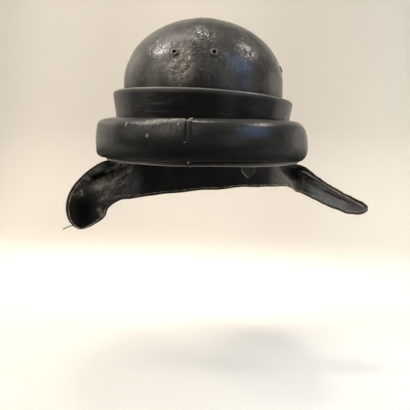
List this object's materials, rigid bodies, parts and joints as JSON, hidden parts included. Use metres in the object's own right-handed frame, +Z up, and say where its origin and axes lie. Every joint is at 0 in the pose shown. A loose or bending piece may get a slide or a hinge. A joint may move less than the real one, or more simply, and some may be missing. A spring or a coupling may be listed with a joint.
{
  "type": "tank crew helmet",
  "caption": "Black leather crash helmet with a hard vented dome, a flared band, a padded bumper ring round it and a loose neck guard whose two ends turn outward.",
  "frame": {"origin": "centre of the head opening, level with the underside of the bumper ring", "axes": "+Z up through the crown, -Y to the helmet's front, +X to the right of someone who faces it"},
  "size_m": [0.3653, 0.2828, 0.248],
  "materials": {
    "dome_leather": "worn gloss, crazed",
    "eyelet_metal": "black, worn",
    "band_leather": "satin",
    "ring_leather": "satin gloss",
    "binding_leather": "satin",
    "guard_leather": "wrinkled gloss",
    "liner_leather": "matt"
  },
  "bodies": {
    "root": {"dome": "dome_leather", "vent_eyelet_front_left": "eyelet_metal", "vent_eyelet_front_right": "eyelet_metal", "vent_eyelet_side_left": "eyelet_metal", "vent_eyelet_side_right": "eyelet_metal", "crown_band": "band_leather", "bumper_ring": "ring_leather", "rim_binding": "binding_leather", "neck_guard": "guard_leather", "liner_tongue": "liner_leather"}
  },
  "joints": []
}
